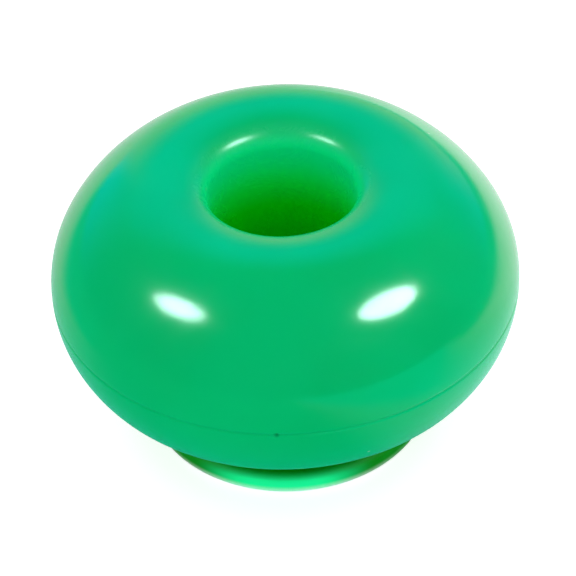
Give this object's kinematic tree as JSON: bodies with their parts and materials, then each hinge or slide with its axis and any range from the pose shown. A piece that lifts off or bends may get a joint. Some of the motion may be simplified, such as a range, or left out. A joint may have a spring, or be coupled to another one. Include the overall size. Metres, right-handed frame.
{
  "type": "racket string vibration dampener",
  "caption": "Soft round button that grips two racket strings: a rounded ring with a central bore, on a short neck with a thin lip.",
  "frame": {"origin": "middle of the flat base, on the axis of the bore, where the dampener stands on a table", "axes": "+Z along the bore, from the lip to the crown of the ring; X runs across the two strings, and Y along them"},
  "size_m": [0.021, 0.021, 0.0132],
  "materials": {
    "silicone": "smooth glossy translucent green silicone, as moulded in a polished mould",
    "thin_silicone": "the same glossy green silicone where it is thin, so that light passes through it"
  },
  "bodies": {
    "root": {"cushion_ring": "silicone", "neck_sleeve": "silicone", "retaining_lip": "thin_silicone"}
  },
  "joints": []
}
